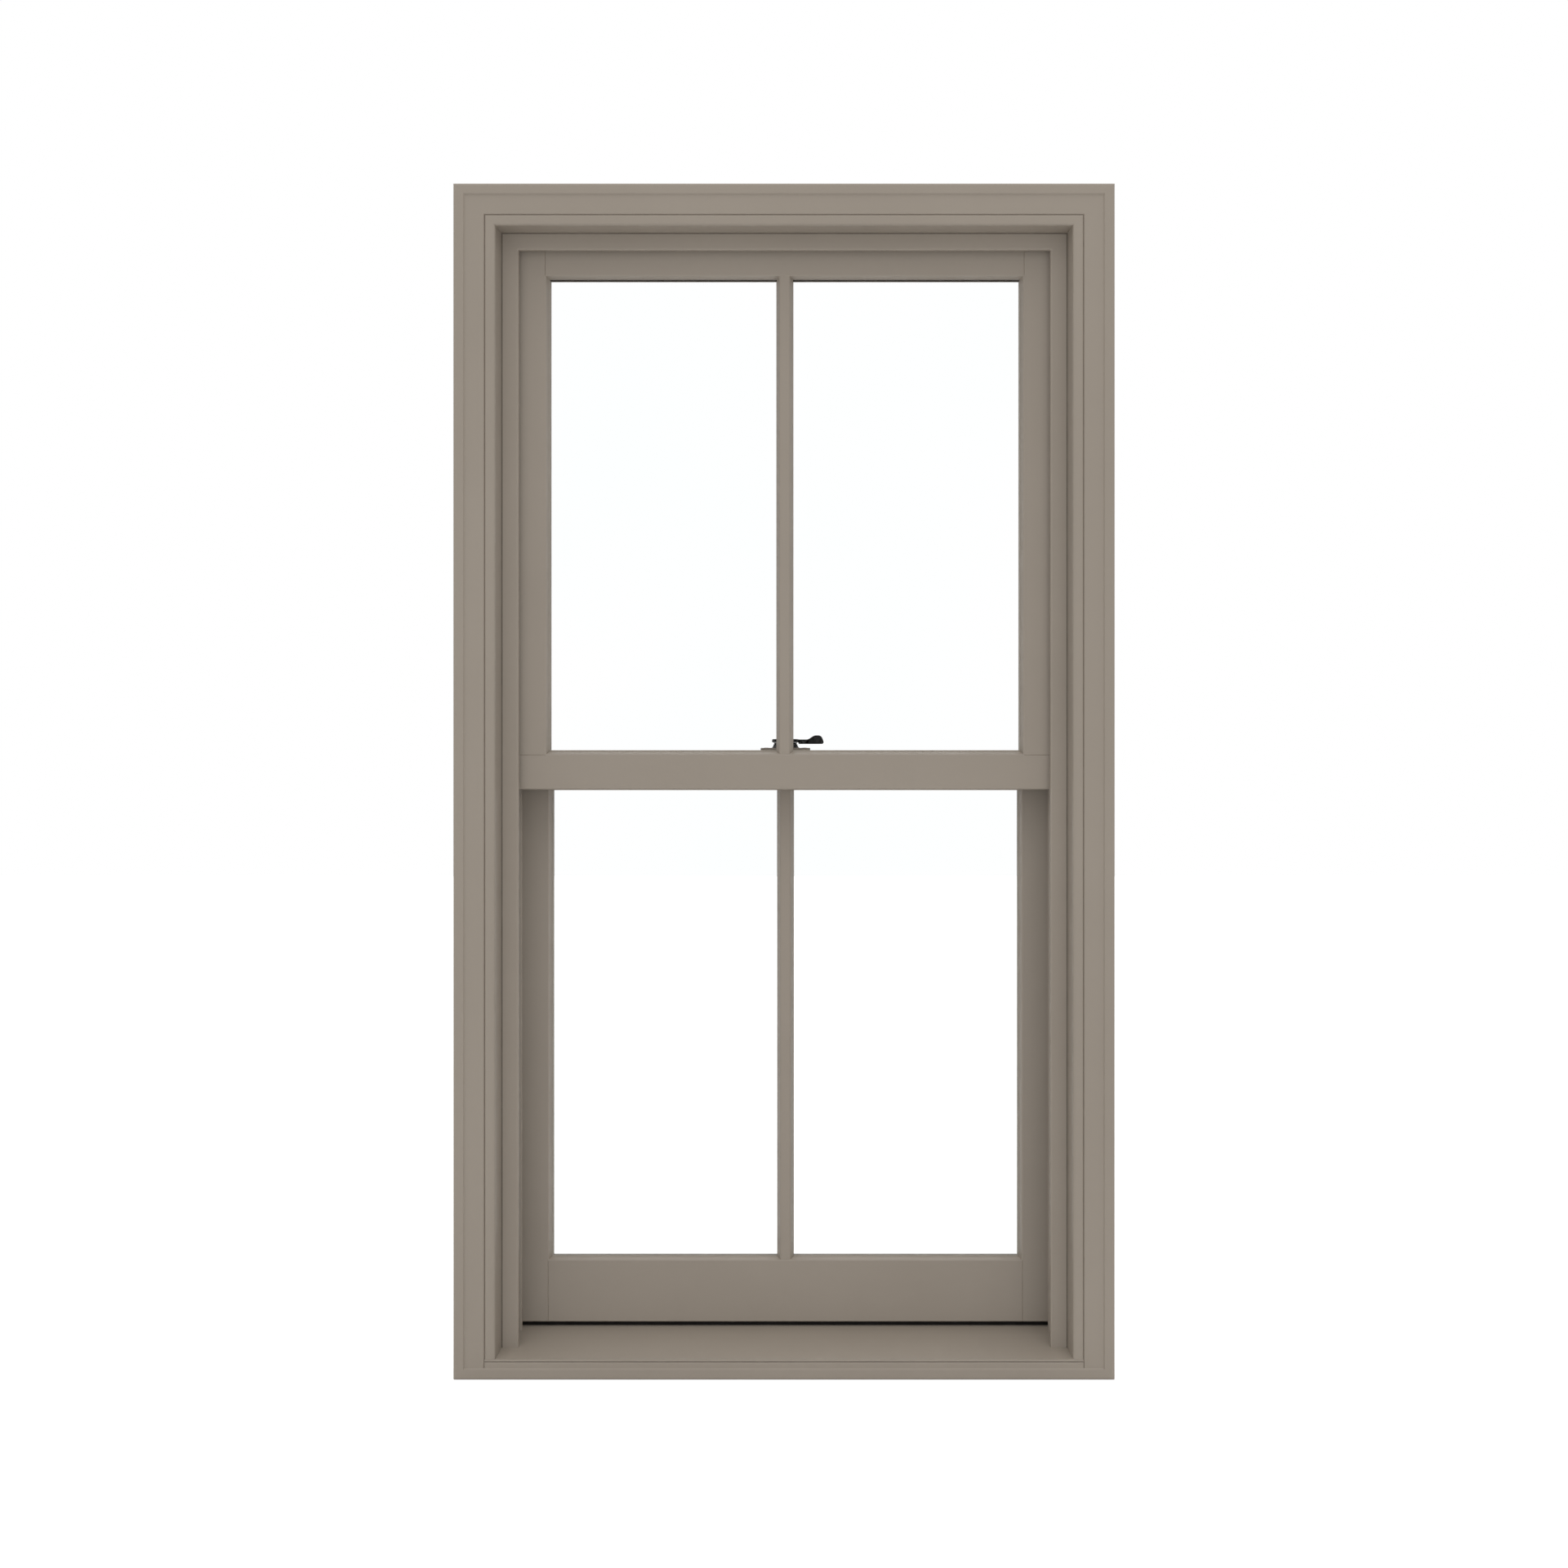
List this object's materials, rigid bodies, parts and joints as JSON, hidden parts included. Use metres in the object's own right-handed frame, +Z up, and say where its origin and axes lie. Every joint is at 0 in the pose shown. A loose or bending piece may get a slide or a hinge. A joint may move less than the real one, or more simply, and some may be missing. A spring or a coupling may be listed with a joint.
{
  "type": "double hung window",
  "caption": "Painted double hung window: cased frame with a sloped sill, an outer upper sash and an inner lower sash with muntin bars, and a lever lock on the check rail.",
  "frame": {"origin": "middle of the flat seat on the back of the sill casing, on the wall's outer face", "axes": "+X right seen from outside, +Y through the wall into the room, +Z up"},
  "size_m": [0.81, 0.164, 1.465],
  "materials": {
    "window_paint": "satin taupe paint on wood",
    "liner_paint": "satin taupe paint on wood, worn smooth in the track",
    "clear_glass": "clear float glass",
    "spacer_metal": "mill finish",
    "shoe_plastic": "moulded nylon",
    "lock_metal": "black powder coat on a casting",
    "seal_rubber": "matt black"
  },
  "bodies": {
    "frame": {"head_casing": "window_paint", "head_inside_stop": "window_paint", "head_jamb": "window_paint", "head_liner": "liner_paint", "head_outer_stop": "window_paint", "head_parting_stop": "window_paint", "left_casing": "window_paint", "left_inside_stop": "window_paint", "left_jamb": "window_paint", "left_liner": "liner_paint", "left_outer_stop": "window_paint", "left_parting_stop": "window_paint", "right_casing": "window_paint", "right_inside_stop": "window_paint", "right_jamb": "window_paint", "right_liner": "liner_paint", "right_outer_stop": "window_paint", "right_parting_stop": "window_paint", "sill": "window_paint", "sill_casing": "window_paint", "sill_inside_stop": "window_paint"},
    "upper_sash": {"upper_check_rail": "window_paint", "upper_glass": "clear_glass", "upper_inner_muntin": "window_paint", "upper_left_stile": "window_paint", "upper_outer_muntin": "window_paint", "upper_right_stile": "window_paint", "upper_sash_shoes": "shoe_plastic", "upper_spacer": "spacer_metal", "upper_top_rail": "window_paint", "lock_keeper": "lock_metal"},
    "lower_sash": {"lower_bottom_rail": "window_paint", "lower_check_rail": "window_paint", "lower_glass": "clear_glass", "lower_inner_muntin": "window_paint", "lower_left_stile": "window_paint", "lower_outer_muntin": "window_paint", "lower_right_stile": "window_paint", "lower_sash_shoes": "shoe_plastic", "lower_spacer": "spacer_metal", "sill_seal": "seal_rubber", "lock_housing": "lock_metal"},
    "lock_lever": {"lock_lever": "lock_metal"}
  },
  "joints": [
    {"name": "upper_sash_slide", "type": "slide", "parent": "frame", "child": "upper_sash", "axis": [0, 0, -1], "range_m": [0, 0.58]},
    {"name": "lower_sash_slide", "type": "slide", "parent": "frame", "child": "lower_sash", "axis": [0, 0, 1], "range_m": [0, 0.58]},
    {"name": "lock_lever_turn", "type": "hinge", "parent": "lower_sash", "child": "lock_lever", "pos_m": [0, 0.09125, 0.77415], "axis": [0, 0, 1], "range_deg": [0, 180]}
  ]
}
